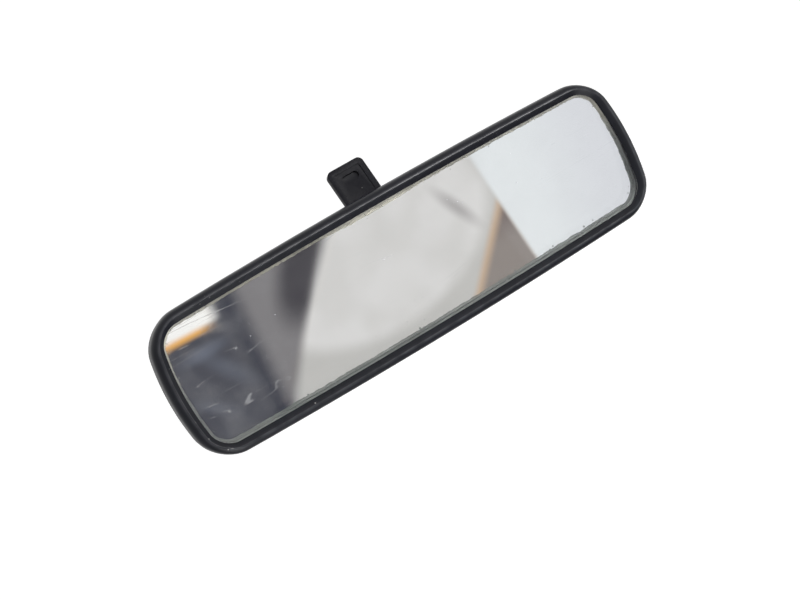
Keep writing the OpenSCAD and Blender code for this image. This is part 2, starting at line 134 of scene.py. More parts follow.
def outline(inset, depth, radius=None, slope=0.0):
    """One closed loop round the head, set in by inset, at a depth behind the ridge that grows up by slope."""
    s = bpy.context.scene.mirror_sizes
    base_w, base_h = HEAD_W - 2 * s.end_bow, HEAD_H - 2 * s.edge_bow
    bm = bmesh.new()
    corners = bmesh.ops.create_grid(bm, x_segments=1, y_segments=1, size=0.5)["verts"]
    bmesh.ops.scale(bm, vec=(base_w - 2 * inset, base_h - 2 * inset, 1), verts=corners)
    bmesh.ops.bevel(bm, geom=corners, offset=radius or max(s.corner_radius - inset, 4 * MM),
                    affect="VERTICES", segments=CORNER_STEPS, profile=0.5, material=-1)
    bmesh.ops.delete(bm, geom=list(bm.faces), context="FACES_ONLY")
    for axis, cuts in ((1, LONG_CUTS), (0, SHORT_CUTS)):
        sides = [e for e in bm.edges if abs(e.verts[0].co[axis] - e.verts[1].co[axis]) < 0.001 * MM]
        bmesh.ops.subdivide_edges(bm, edges=sides, cuts=cuts)
    for v in bm.verts:
        x, z = v.co.x, v.co.y
        bowed_x = x * (1 + 2 * s.end_bow / base_w * (1 - (2 * z / base_h) ** 2))
        bowed_z = z * (1 + 2 * s.edge_bow / base_h * (1 - (2 * x / base_w) ** 2))
        v.co = HEAD + Vector((bowed_x, depth + slope * bowed_z, bowed_z))
    return bm


def loft(rows, ring=False, front=False, back=False):
    """Extrudes the first row's loop through the other rows, and closes it into a ring or caps its ends.
    Each vertex keeps the number of its row."""
    rows = rows + rows[:1] if ring else rows
    bm = outline(*rows[0])
    place, number = bm.verts.layers.int.new("place"), bm.verts.layers.int.new("row")
    for i, v in enumerate(bm.verts):
        v[place] = i
    edges = list(bm.edges)
    for k, row in enumerate(rows[1:], 1):
        target = outline(*row)
        points = [v.co.copy() for v in target.verts]
        target.free()
        grown = bmesh.ops.extrude_edge_only(bm, edges=edges)["geom"]
        fresh = {item for item in grown if isinstance(item, bmesh.types.BMVert)}
        for v in fresh:
            v.co, v[number] = points[v[place]], k
        edges = [item for item in grown
                 if isinstance(item, bmesh.types.BMEdge) and fresh.issuperset(item.verts)]
    for wanted, end in ((front, 0), (back, len(rows) - 1)):
        rim = [e for e in bm.edges if e.is_boundary and all(v[number] == end for v in e.verts)]
        if wanted:
            bmesh.ops.edgeloop_fill(bm, edges=rim)
    if ring:
        bmesh.ops.remove_doubles(bm, verts=bm.verts, dist=0.0001 * MM)
    bmesh.ops.recalc_face_normals(bm, faces=bm.faces)
    return bm


def new_object(bm, name):
    """Turns a bmesh into an object of the scene."""
    mesh = bpy.data.meshes.new(name)
    bm.to_mesh(mesh)
    bm.free()
    piece = bpy.data.objects.new(name, mesh)
    bpy.context.scene.collection.objects.link(piece)
    return piece


def apply_modifiers(piece):
    """Replaces the mesh by its finished shape and removes the modifiers."""
    bpy.context.view_layer.update()
    graph = bpy.context.evaluated_depsgraph_get()
    mesh = bpy.data.meshes.new_from_object(piece.evaluated_get(graph))
    old = piece.data
    piece.modifiers.clear()
    piece.data = mesh
    mesh.name = piece.name
    bpy.data.meshes.remove(old)


def cut(piece, cutter, operation="DIFFERENCE"):
    """Applies a Boolean of the cutter to the piece, and removes the cutter."""
    boolean = piece.modifiers.new("cut", "BOOLEAN")
    boolean.operation = operation
    boolean.solver = "EXACT"
    boolean.object = cutter
    apply_modifiers(piece)
    mesh = cutter.data
    bpy.data.objects.remove(cutter)
    bpy.data.meshes.remove(mesh)


def finish_piece(piece, body, materials, nodes=(), angle=35):
    """Gives a piece its finish, its smooth shading, its body and the CAD nodes that it stands for."""
    piece.data.materials.clear()
    for material in materials:
        piece.data.materials.append(material)
    piece.data.shade_smooth()
    piece.data.set_sharp_from_angle(angle=math.radians(angle))
    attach(piece, body)
    if nodes:
        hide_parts(*nodes)
    return piece


def box_between(bm, low, high):
    """A box between two corners, measured from the middle of the head's front."""
    low, high = HEAD + Vector(low) * MM, HEAD + Vector(high) * MM
    size = high - low
    place = Matrix.Translation((low + high) / 2) @ Matrix.Diagonal((*size, 1))
    return bmesh.ops.create_cube(bm, size=1, matrix=place)["verts"]


def post_between(bm, x, z, radius, y0, y1, steps=48):
    """A round post along +Y, in millimetres from the middle of the head's front."""
    middle = HEAD + Vector((x, (y0 + y1) / 2, z)) * MM
    turn = Matrix.Rotation(math.radians(90), 4, "X")
    return bmesh.ops.create_cone(
        bm, cap_ends=True, segments=steps, radius1=radius * MM, radius2=radius * MM,
        depth=(y1 - y0) * MM, matrix=Matrix.Translation(middle) @ turn)["verts"]


def eased_copy(node, name, width=0.0, sharp=35, segments=2):
    """A copy of a CAD node with its sharp edges rounded, which marks the rounded edges as worn."""
    bm = bmesh.new()
    bm.from_mesh(frame["nodes"][node].data)
    bmesh.ops.remove_doubles(bm, verts=bm.verts, dist=0.002 * MM)
    bmesh.ops.dissolve_limit(bm, angle_limit=math.radians(0.5), verts=bm.verts, edges=bm.edges)
    wear_and_highlight = bm.loops.layers.float.new("wear_and_highlight")
    if width:
        edges = [e for e in bm.edges if e.is_manifold and e.calc_face_angle() > math.radians(sharp)]
        rounded = bmesh.ops.bevel(bm, geom=edges, offset=width * MM, affect="EDGES", segments=segments,
                                  profile=0.5, material=-1, clamp_overlap=True)
        for face in rounded["faces"]:
            for corner in face.loops:
                corner[wear_and_highlight] = 1.0
    return new_object(bm, name)


def carried(node, name, body, slot, material, angle=35, **ease):
    """An eased copy of one CAD node, finished and standing for it."""
    return finish_piece(eased_copy(node, name, **ease), body, [material], [node], angle)


# ---- Material helpers ------------------------------------------------------------------------------

class Nodes:
    """A short way to write a node tree."""

    def __init__(self, tree):
        self.tree = tree

    def add(self, kind, settings=None, **inputs):
        node = self.tree.nodes.new(kind)
        for key, value in (settings or {}).items():
            setattr(node, key, value)
        for key, value in inputs.items():
            self.feed(node.inputs[key.replace("_", " ")], value)
        return node

    def feed(self, socket, value):
        if isinstance(value, bpy.types.NodeSocket):
            self.tree.links.new(value, socket)
        elif isinstance(value, bpy.types.Node):
            self.tree.links.new(value.outputs[0], socket)
        else:
            socket.default_value = value

    def math(self, operation, a, b=0.0, clamp=False):
        node = self.tree.nodes.new("ShaderNodeMath")
        node.operation, node.use_clamp = operation, clamp
        self.feed(node.inputs[0], a)
        self.feed(node.inputs[1], b)
        return node.outputs[0]

    def times(self, a, b, clamp=False):
        return self.math("MULTIPLY", a, b, clamp)

    def plus(self, a, b, clamp=False):
        return self.math("ADD", a, b, clamp)

    def minus(self, a, b):
        return self.math("SUBTRACT", a, b)

    def place(self):
        """Where a point stands on the piece."""
        return self.add("ShaderNodeTexCoord").outputs["Object"]

    def ramp(self, value, low, high, to_low=0.0, to_high=1.0):
        """Smooth step of a value from low to high."""
        node = self.tree.nodes.new("ShaderNodeMapRange")
        node.interpolation_type = "SMOOTHSTEP"
        for socket, item in zip(node.inputs, (value, low, high, to_low, to_high)):
            self.feed(socket, item)
        return node.outputs[0]

    def mix(self, factor, a, b):
        """Mix of two colours."""
        node = self.tree.nodes.new("ShaderNodeMix")
        node.data_type = "RGBA"
        self.feed(node.inputs[0], factor)
        self.feed(node.inputs[6], a if not isinstance(a, tuple) else (*a[:3], 1.0))
        self.feed(node.inputs[7], b if not isinstance(b, tuple) else (*b[:3], 1.0))
        return node.outputs[2]

    def noise(self, vector, scale, detail=3.0, roughness=0.5):
        node = self.add("ShaderNodeTexNoise", Scale=scale, Detail=detail, Roughness=roughness)
        self.feed(node.inputs["Vector"], vector)
        return node.outputs[0]


def new_group(name, inputs, outputs):
    """A shader node group with float sockets: returns its nodes helper, and its input and output nodes."""
    tree = bpy.data.node_groups.new(name, "ShaderNodeTree")
    for label, default in inputs.items():
        socket = tree.interface.new_socket(label, in_out="INPUT", socket_type="NodeSocketFloat")
        socket.default_value = default
    for label in outputs:
        tree.interface.new_socket(label, in_out="OUTPUT", socket_type="NodeSocketFloat")
    n = Nodes(tree)
    return n, n.add("NodeGroupInput"), n.add("NodeGroupOutput")


def group_grain():
    """Fine moulded grain: rounded cells over a soft unevenness."""
    n, given, out = new_group("moulded_grain", {"Scale": 2500.0, "Unevenness": 0.3}, ["Height"])
    place = n.place()
    cells = n.add("ShaderNodeTexVoronoi", {"feature": "SMOOTH_F1"}, Scale=given.outputs["Scale"],
                  Smoothness=0.6, Vector=place)
    soft = n.noise(place, n.times(given.outputs["Scale"], 0.12), 2.0)
    uneven = n.times(soft, given.outputs["Unevenness"])
    n.feed(out.inputs["Height"], n.plus(cells.outputs["Distance"], uneven))


def group_dust():
    """Scattered specks of dust, each a soft dot of its own size."""
    n, given, out = new_group("dust_specks", {"Scale": 700.0, "Share": 0.1, "Size": 0.2}, ["Mask"])
    place = n.place()
    cells = n.add("ShaderNodeTexVoronoi", Scale=given.outputs["Scale"], Vector=place)
    chance = n.add("ShaderNodeSeparateColor", Color=cells.outputs["Color"])
    rare = n.math("LESS_THAN", chance.outputs[0], given.outputs["Share"])
    reach = n.times(given.outputs["Size"], n.plus(chance.outputs[1], 0.25))
    near = n.minus(reach, cells.outputs["Distance"])
    dot = n.ramp(near, 0.0, 0.06)
    n.feed(out.inputs["Mask"], n.times(rare, dot))


def group_scratches():
    """Hair-thin curved scratches: contour lines of a soft noise, broken up by a second one."""
    n, given, out = new_group("hair_scratches", {"Scale": 60.0, "Width": 0.01, "Cover": 0.5}, ["Mask"])
    place = n.place()
    total = None
    for turn, share in ((0.4, 1.0), (2.1, 1.6), (1.2, 2.3)):
        turned = n.add("ShaderNodeMapping", Vector=place)
        turned.inputs["Rotation"].default_value = (0.0, turn, 0.0)
        turned.inputs["Scale"].default_value = (0.16, 1.0, 3.2)
        field = n.noise(turned.outputs[0], n.times(given.outputs["Scale"], share), 0.0)
        off = n.math("ABSOLUTE", n.minus(field, 0.5))
        line = n.ramp(off, given.outputs["Width"], 0.0)
        part = n.noise(turned.outputs[0], n.times(given.outputs["Scale"], share * 2.7), 2.0)
        cover = given.outputs["Cover"]
        line = n.times(line, n.ramp(part, cover, n.plus(cover, 0.08)))
        total = line if total is None else n.math("MAXIMUM", total, line)
    n.feed(out.inputs["Mask"], total)


def group_wear_and_highlight():
    """Rubbed edges, and the painted highlight along the rim's ridge: the piece's own marked attribute, broken up
    by noise.
    """
    n, given, out = new_group("edge_wear_and_highlight", {"Amount": 0.5, "Scale": 400.0}, ["Mask"])
    place = n.place()
    edge = n.add("ShaderNodeAttribute", {"attribute_name": "wear_and_highlight"}).outputs["Fac"]
    broken = n.ramp(n.noise(place, given.outputs["Scale"], 3.0, 0.5), 0.22, 0.70, 0.35, 1.0)
    kept = n.times(broken, given.outputs["Amount"])
    n.feed(out.inputs["Mask"], n.times(edge, kept, clamp=True))


GROUPS = {"moulded_grain": group_grain, "dust_specks": group_dust, "hair_scratches": group_scratches,
          "edge_wear_and_highlight": group_wear_and_highlight}


def placed(n, name, **values):
    """Places a shared node group in a material, making it at its first use."""
    if name not in bpy.data.node_groups:
        GROUPS[name]()
    node = n.tree.nodes.new("ShaderNodeGroup")
    node.node_tree = bpy.data.node_groups[name]
    for key, value in values.items():
        n.feed(node.inputs[key], value)
    return node.outputs[0]


def new_material(name, **constants):
    """A Principled material with constants on the shader's own sockets: returns it, its nodes, its shader."""
    material = bpy.data.materials.new(name)
    material.use_nodes = True
    n = Nodes(material.node_tree)
    shader = material.node_tree.nodes["Principled BSDF"]
    for key, value in constants.items():
        shader.inputs[key.replace("_", " ")].default_value = value
    return material, n, shader


def bump(n, shader, height, distance, strength=1.0):
    """Feeds a height to the shader's Normal through a Bump node; distance is in millimetres."""
    node = n.add("ShaderNodeBump", Height=height, Distance=distance * MM, Strength=strength)
    n.feed(shader.inputs["Normal"], node.outputs[0])


def moulded_plastic(name, base, rough, grain_scale, grain_depth, dust=0.03, wear_and_highlight=0.5, sheen=0.2):
    """Moulded plastic with grain, a little dust, and edges rubbed paler and smoother, partly a painted highlight.
    """
    material, n, shader = new_material(name, **{"Specular_IOR_Level": 0.04, "Coat_Roughness": 0.3})
    place = n.place()
    specks = placed(n, "dust_specks", Scale=620.0, Share=dust, Size=0.22)
    rubbed_and_highlight = placed(n, "edge_wear_and_highlight", Amount=wear_and_highlight, Scale=150.0)
    cloudy = n.noise(place, 45.0, 4.0, 0.6)
    pale = tuple(min(1.0, c * 2.4 + 0.016) for c in base)
    shade = n.mix(n.ramp(cloudy, 0.3, 0.75), tuple(base), tuple(c * 1.45 for c in base))
    # painted highlight: marked edges are mixed towards a paler colour, which on the rim's ridge stands for caught
    # light as well as wear
    shade = n.mix(rubbed_and_highlight, shade, pale)
    n.feed(shader.inputs["Base Color"], n.mix(n.times(specks, 0.55), shade, (0.42, 0.41, 0.39)))
    patchy = n.ramp(n.noise(place, 110.0, 3.0), 0.3, 0.8, rough, rough + 0.10)
    satin = n.minus(patchy, n.times(rubbed_and_highlight, 0.12))
    n.feed(shader.inputs["Roughness"], n.plus(satin, n.times(specks, 0.4), clamp=True))
    polished = n.plus(n.times(rubbed_and_highlight, 0.6), sheen, clamp=True)
    n.feed(shader.inputs["Coat Weight"], polished)
    height = placed(n, "moulded_grain", Scale=grain_scale, Unevenness=0.35)
    bump(n, shader, height, grain_depth)
    return material


def plated_steel(name, base, rough, brush=(1.0, 1.0, 1.0), depth=0.004):
    """Steel with drawn or ground lines along one axis, and a slight stain."""
    material, n, shader = new_material(name)
    place = n.place()
    drawn = n.add("ShaderNodeMapping", Vector=place)
    drawn.inputs["Scale"].default_value = brush
    lines = n.noise(drawn.outputs[0], 2600.0, 3.0, 0.65)
    stain = n.ramp(n.noise(place, 160.0, 5.0, 0.6), 0.42, 0.75)
    n.feed(shader.inputs["Base Color"], n.mix(stain, tuple(base), tuple(c * 0.62 for c in base)))
    n.feed(shader.inputs["Metallic"], n.ramp(stain, 0.0, 1.0, 1.0, 0.9))
    n.feed(shader.inputs["Roughness"], n.plus(n.times(lines, 0.14),
                                              n.plus(n.times(stain, 0.18), rough)))
    bump(n, shader, lines, depth)
    return material


def cast_paint(name, base):
    """Black paint over a zinc casting: orange peel, with the metal showing at rubbed places."""
    material, n, shader = new_material(name, **{"Specular_IOR_Level": 0.4})
    place = n.place()
    peel = n.noise(place, 900.0, 3.0, 0.55)
    broad = n.noise(place, 130.0, 4.0, 0.6)
    chips = n.ramp(n.noise(place, 420.0, 5.0, 0.7), 0.70, 0.73)
    specks = placed(n, "dust_specks", Scale=600.0, Share=0.05, Size=0.2)
    shade = n.mix(n.ramp(broad, 0.35, 0.75), tuple(base), tuple(c * 1.7 for c in base))
    shade = n.mix(chips, shade, (0.34, 0.34, 0.35))
    n.feed(shader.inputs["Base Color"], n.mix(n.times(specks, 0.5), shade, (0.4, 0.39, 0.37)))
    n.feed(shader.inputs["Metallic"], n.times(chips, 0.9))
    n.feed(shader.inputs["Roughness"], n.ramp(broad, 0.3, 0.8, 0.42, 0.60))
    bump(n, shader, n.plus(peel, n.times(chips, -0.8)), 0.05)
    return material


def rubber_finish(name, base):
    """Matt rubber with a bloom of dust."""
    material, n, shader = new_material(name, **{"Specular_IOR_Level": 0.3})
    place = n.place()
    bloom = n.ramp(n.noise(place, 240.0, 4.0, 0.6), 0.45, 0.8)
    n.feed(shader.inputs["Base Color"], n.mix(bloom, tuple(base), tuple(c * 3 + 0.01 for c in base)))
    n.feed(shader.inputs["Roughness"], n.ramp(bloom, 0.0, 1.0, 0.62, 0.85))
    bump(n, shader, n.noise(place, 1800.0, 2.0), 0.02)
    return material


def acetal_finish(name, base):
    """Waxy natural acetal with faint grease marks."""
    material, n, shader = new_material(name, **{"Subsurface_Weight": 0.0, "Specular_IOR_Level": 0.5})
    place = n.place()
    grease = n.ramp(n.noise(place, 300.0, 4.0, 0.6), 0.5, 0.75)
    n.feed(shader.inputs["Base Color"], n.mix(grease, tuple(base), tuple(c * 0.72 for c in base)))
    n.feed(shader.inputs["Roughness"], n.ramp(grease, 0.0, 1.0, 0.42, 0.24))
    bump(n, shader, n.noise(place, 700.0, 2.0), 0.01)
    return material


def foam_finish(name, base):
    """Open-cell foam: pits of many sizes, painted darker as shade in the cells."""
    material, n, shader = new_material(name, **{"Specular_IOR_Level": 0.15})
    place = n.place()
    cells = n.add("ShaderNodeTexVoronoi", Scale=1500.0, Vector=place).outputs["Distance"]
    pits = n.ramp(cells, 0.15, 0.6)
    # painted shade: the pits are darker in colour
    n.feed(shader.inputs["Base Color"], n.mix(pits, tuple(c * 0.35 for c in base), tuple(base)))
    n.feed(shader.inputs["Roughness"], n.ramp(pits, 0.0, 1.0, 0.95, 0.85))
    bump(n, shader, pits, 0.25)
    return material


# ---- Pieces ----------------------------------------------------------------------------------------

class MIRROR_OT_rim(bpy.types.Operator):
    """The satin rim round the glass, with its ridge, inner slope and the lap that enters the case"""
    bl_idname = "mirror.rim"
    bl_label = "Rim"

    def execute(self, context):
        s, c = context.scene.mirror_sizes, context.scene.mirror_colours
        lip = GLASS_FRONT / MM
        width, ridge, deep = s.rim_width / MM, s.ridge / MM, s.rim_depth / MM
        section = [
            (0.55, deep), (0.12, deep - 0.45), (0.0, deep - 1.6), (0.0, ridge + 2.2), (0.14, ridge + 1.1),
            (0.52, ridge), (1.1, ridge * 0.52), (1.8, ridge * 0.23), (2.4, 0.16), (2.78, 0.03), (2.94, 0.0),
            (3.06, 0.04), (3.14, 0.26), (3.3, 0.42), (4.3, ridge * 0.52), (width - 0.3, ridge * 0.84),
            (width - 0.05, ridge * 0.95), (width, ridge + 0.02), (width, lip), (4.0, lip), (4.0, deep + 2.1),
            (3.2, deep + 2.1), (3.2, deep),
        ]
        bm = loft([(inset * MM, depth * MM) for inset, depth in section], ring=True)
        # the lap stops short of the lever's slot
        gap = [v for v in bm.verts
               if abs(v.co.x - HEAD.x) < 18.9 * MM and v.co.z < HEAD.z and v.co.y > HEAD.y + (deep + 1) * MM]
        for v in gap:
            v.co.y = HEAD.y + (deep + 0.1) * MM
        # the ridge is marked as rubbed, and its paler colour along the top is also a painted highlight
        wear_and_highlight = bm.verts.layers.float.new("wear_and_highlight")
        for v in bm.verts:
            rise = (v.co.y - HEAD.y) / (ridge * MM)
            v[wear_and_highlight] = max(0.0, 1.0 - rise * 4.0)
        piece = new_object(bm, "rim")
        smooth = piece.modifiers.new("rounding", "SUBSURF")
        smooth.levels = smooth.render_levels = 1
        finish_piece(piece, "case",
                     [moulded_plastic("rim_plastic", c.rim, 0.27, 3600.0, 0.010, dust=0.035, wear_and_highlight=1.0,
                                      sheen=0.17)], ["bezel"], angle=60)
        return {"FINISHED"}


class MIRROR_OT_case(bpy.types.Operator):
    """The rear case, with the opening for the ball joint, the slot for the lever, and the ribs and ears inside"""
    bl_idname = "mirror.case"
    bl_label = "Rear case"

    def section(self, wall):
        s = bpy.context.scene.mirror_sizes
        step_in, swell = 0.3 * MM, 0.4 * MM
        deep = HEAD_DEPTH - s.straight - wall
        limit = (HEAD_H - 2 * s.edge_bow) / 2
        rows = [(step_in + wall, s.rim_depth + 0.2 * MM)]
        for turn in range(0, 91, 9):
            a = math.radians(turn)
            rows.append((step_in + swell + wall + (s.back_inset - step_in - swell) * (1 - math.cos(a)),
                         s.straight + deep * math.sin(a)))
        return [(inset, depth, min(s.corner_radius - step_in - wall, limit - inset - 2 * MM))
                for inset, depth in rows]

    def execute(self, context):
        s, c = context.scene.mirror_sizes, context.scene.mirror_colours
        bm = loft(self.section(0.0), back=True)
        if sum(f.normal.dot(f.calc_center_median() - HEAD - Vector((0, 0.01, 0))) for f in bm.faces) < 0:
            bmesh.ops.reverse_faces(bm, faces=bm.faces)
        shell = new_object(bm, "rear_case")
        wall = shell.modifiers.new("wall", "SOLIDIFY")
        wall.thickness, wall.offset, wall.use_even_offset = s.wall, -1.0, True
        apply_modifiers(shell)

        slot_half = 10.1
        bm = bmesh.new()
        post_between(bm, 0, 0, s.opening / MM, s.straight / MM, HEAD_DEPTH / MM + 5, steps=96)
        box_between(bm, (-slot_half, LEVER.y / MM - 4.9, -HEAD_H / MM),
                    (slot_half, LEVER.y / MM + 4.9, LEVER.z / MM - 3.2))
        cut(shell, new_object(bm, "openings"))

        # ribs, ears and bosses, trimmed to the middle of the wall
        bm = bmesh.new()
        slope = math.tan(s.wedge)
        back = HEAD_DEPTH / MM
        foam_back = max(v.co.y for v in frame["nodes"]["foam_pads"].data.vertices) - HEAD.y
        foam_back = foam_back / MM - 22 * slope
        ear_y, ear_z, lever_y, lever_z = HINGE.y / MM, HINGE.z / MM, LEVER.y / MM, LEVER.z / MM
        for side in (-1, 1):
            for x in (58.75, 86.25):
                for v in box_between(bm, (side * x - 0.8, foam_back, -22), (side * x + 0.8, back, 22)):
                    if v.co.y < HEAD.y + (foam_back + 1) * MM:
                        v.co.y += slope * (v.co.z - HEAD.z)
            box_between(bm, (side * 32.5 - 2, ear_y - 3.3, ear_z - 3.3), (side * 32.5 + 2, back, ear_z + 3.3))
            box_between(bm, (side * 16.9 - 1.5, lever_y - 3.2, -HEAD_H / MM / 2),
                        (side * 16.9 + 1.5, lever_y + 3.2, lever_z + 3.2))
            post_between(bm, side * 22, -12, 3.6, 21, back)
        box_between(bm, (-4.5, 21, -HEAD_H / MM / 2), (4.5, 25, lever_z + 1))
        bmesh.ops.recalc_face_normals(bm, faces=bm.faces)
        ribs = new_object(bm, "case_ribs")
        inside = loft(self.section(s.wall / 2), front=True, back=True)
        cut(ribs, new_object(inside, "inside"), "INTERSECT")

        plastic = moulded_plastic("case_plastic", c.case, 0.42, 1500.0, 0.05, dust=0.05, wear_and_highlight=0.45)
        for piece, nodes, width in ((shell, ["case_shell"], 0.35), (ribs, [], 0.25)):
            ease = piece.modifiers.new("eased edges", "BEVEL")
            ease.width, ease.segments, ease.limit_method = width * MM, 2, "ANGLE"
            ease.angle_limit = math.radians(50)
            finish_piece(piece, "case", [plastic], nodes, angle=40)
        return {"FINISHED"}


class MIRROR_OT_glass(bpy.types.Operator):
    """The wedge of glass with its ground edge, the silver with its crumbling border, the film and the foam"""
    bl_idname = "mirror.glass"
    bl_label = "Glass, silver, film and foam"

    def execute(self, context):
        s = context.scene.mirror_sizes
        slope = math.tan(s.wedge)
        inset, chamfer = s.glass_inset, 0.3 * MM
        back = max(v.co.y - slope * (v.co.z - HEAD.z)
                   for v in frame["nodes"]["prism_glass"].data.vertices) - HEAD.y
        bm = loft([(inset + chamfer, GLASS_FRONT), (inset, GLASS_FRONT + chamfer),
                   (inset, back - chamfer, None, slope), (inset + chamfer, back, None, slope)],
                  front=True, back=True)
        for face in bm.faces:
            face.material_index = 0 if len(face.verts) > 4 else 1
        lens = new_object(bm, "prism_lens")
        finish_piece(lens, "case", [self.clear_glass(), self.ground_edge()],
                     ["prism_glass"], angle=25)
        lens.visible_shadow = False

        # the silver's front stands a hair inside the glass, so nothing shows between them
        hair = 0.04 * MM
        steps = [0.35, 0.35, 1.0, 1.7, 2.4, 3.1, 3.8, 4.6, 5.6, 7.0]
        depths = [back + 0.1 * MM] + [back - hair] * (len(steps) - 1)
        bm = loft([(inset + step * MM, depth, None, slope) for step, depth in zip(steps, depths)],
                  front=True, back=True)
        edge = bm.verts.layers.float.new("edge")
        number = bm.verts.layers.int["row"]
        for v in bm.verts:
            v[edge] = steps[v[number]]
        silver = new_object(bm, "silver_coat")
        finish_piece(silver, "case", [self.silver_finish()], ["silver_layer"], angle=40)

        film = frame["nodes"]["backing_film"]
        film.data.materials.clear()
        film.data.materials.append(self.film_finish())

        cells = foam_finish("foam_cells", context.scene.mirror_colours.foam)
        foam = carried("foam_pads", "foam_strips", "case", "foam", cells, angle=60, width=0.7, segments=3)
        return {"FINISHED"}

    def clear_glass(self):
        c = bpy.context.scene.mirror_colours
        material, n, shader = new_material(
            "clear_glass", **{"Transmission_Weight": 1.0, "IOR": GLASS_INDEX, "Metallic": 0.0})
        place = n.place()
        film = n.noise(place, 70.0, 4.0, 0.6)
        pale = tuple(c.glass)
        dull = tuple(v * 0.97 for v in pale)
        n.feed(shader.inputs["Base Color"], n.mix(n.ramp(film, 0.35, 0.8), pale, dull))
        n.feed(shader.inputs["Roughness"], n.ramp(film, 0.45, 0.8, 0.0, 0.003))
        return material

    def ground_edge(self):
        material, n, shader = new_material("ground_edge", **{"Specular_IOR_Level": 0.4})
        place = n.place()
        fine = n.noise(place, 1400.0, 4.0, 0.7)
        drift = n.noise(place, 150.0, 3.0)
        pale = n.mix(n.ramp(drift, 0.3, 0.75), (0.20, 0.215, 0.205), (0.44, 0.46, 0.43))
        n.feed(shader.inputs["Base Color"], n.mix(n.ramp(fine, 0.3, 0.5), (0.10, 0.11, 0.105), pale))
        n.feed(shader.inputs["Roughness"], n.ramp(fine, 0.3, 0.7, 0.45, 0.65))
        bump(n, shader, fine, 0.03)
        return material

    def silver_finish(self):
        """Silver with a ragged border, pinholes near it, and haze, scuffs and dust towards one end."""
        s, c = bpy.context.scene.mirror_sizes, bpy.context.scene.mirror_colours
        material, n, shader = new_material("silver_finish")
        place = n.place()
        apart = n.add("ShaderNodeSeparateXYZ", Vector=place)
        x = n.minus(apart.outputs[0], HEAD.x)
        z = n.minus(apart.outputs[2], HEAD.z)
        from_edge = n.add("ShaderNodeAttribute", {"attribute_name": "edge"}).outputs["Fac"]
        # width of the bare border, wider by the lever
        half = HEAD_H / 2
        border = n.ramp(z, half, -half, s.bare_top / MM, s.bare_low / MM)
        by_lever = n.ramp(n.math("ABSOLUTE", n.minus(x, 0.004)), 0.030, 0.008)
        low = n.ramp(z, 0.0, -half)
        border = n.plus(border, n.times(n.times(by_lever, low), 0.9))
        ragged = n.times(n.minus(n.noise(place, 240.0, 6.0, 0.68), 0.5), 1.5)
        crumbs = n.times(n.minus(n.noise(place, 1500.0, 3.0, 0.6), 0.5), 0.8)
        reach = n.plus(n.plus(from_edge, ragged), crumbs)
        cover = n.ramp(n.minus(reach, border), -0.06, 0.06)
        wander = n.times(n.noise(place, 30.0, 3.0), 0.5)
        for middle, wide in ((1.65, 0.10), (2.3, 0.07)):
            off = n.math("ABSOLUTE", n.minus(n.plus(from_edge, wander), middle + 0.25))
            thread = n.times(n.ramp(off, wide, wide * 0.4), n.ramp(z, -half * 0.5, half * 0.5, 0.25, 0.85))
            cover = n.math("MAXIMUM", cover, thread)
        holes = placed(n, "dust_specks", Scale=520.0, Share=0.30, Size=0.25)
        close = n.ramp(n.minus(from_edge, border), 2.2, 0.2)
        cover = n.times(cover, n.minus(1.0, n.times(holes, close)))
        n.feed(shader.inputs["Alpha"], cover)
        # wear of the face
        worn_end = n.ramp(x, 0.055, 0.112)
        scuffs = n.times(placed(n, "hair_scratches", Scale=42.0, Width=0.008, Cover=0.50), worn_end)
        fine = n.times(placed(n, "hair_scratches", Scale=26.0, Width=0.003, Cover=0.56), 0.30)
        haze = n.ramp(n.noise(place, 55.0, 5.0, 0.62), 0.45, 0.78)
        haze = n.times(haze, n.ramp(x, 0.045, 0.10, 0.05, 0.42))
        specks = placed(n, "dust_specks", Scale=520.0, Share=0.10, Size=0.13)
        dull = n.plus(n.times(scuffs, 0.34), n.times(fine, 0.5))
        dull = n.plus(dull, n.times(specks, 0.5), clamp=True)
        veil = n.math("MAXIMUM", dull, n.times(haze, 0.20))
        n.feed(shader.inputs["Base Color"], n.mix(veil, tuple(c.silver), (0.62, 0.66, 0.74)))
        n.feed(shader.inputs["Metallic"], n.minus(1.0, n.times(veil, 0.8)))
        smear = n.times(haze, 0.10)
        n.feed(shader.inputs["Roughness"], n.plus(n.plus(smear, 0.006), n.times(dull, 0.3)))
        return material

    def film_finish(self):
        c = bpy.context.scene.mirror_colours
        material, n, shader = new_material("film_finish", **{"Specular_IOR_Level": 0.35})
        place = n.place()
        drift = n.noise(place, 90.0, 4.0, 0.6)
        base = n.mix(n.ramp(drift, 0.3, 0.75), tuple(c.film), tuple(v * 0.72 for v in c.film))
        apart = n.add("ShaderNodeSeparateXYZ", Vector=place)
        # the film is darker and greener towards the top
        darker_toward_top = n.ramp(n.minus(apart.outputs[2], HEAD.z), -HEAD_H * 0.42, HEAD_H * 0.1)
        base = n.mix(darker_toward_top, base, (0.150, 0.160, 0.152))
        grime = placed(n, "dust_specks", Scale=900.0, Share=0.35, Size=0.3)
        n.feed(shader.inputs["Base Color"], n.mix(n.times(grime, 0.7), base, (0.06, 0.055, 0.05)))
        n.feed(shader.inputs["Roughness"], n.ramp(drift, 0.3, 0.7, 0.5, 0.7))
        bump(n, shader, drift, 0.05)
        return material


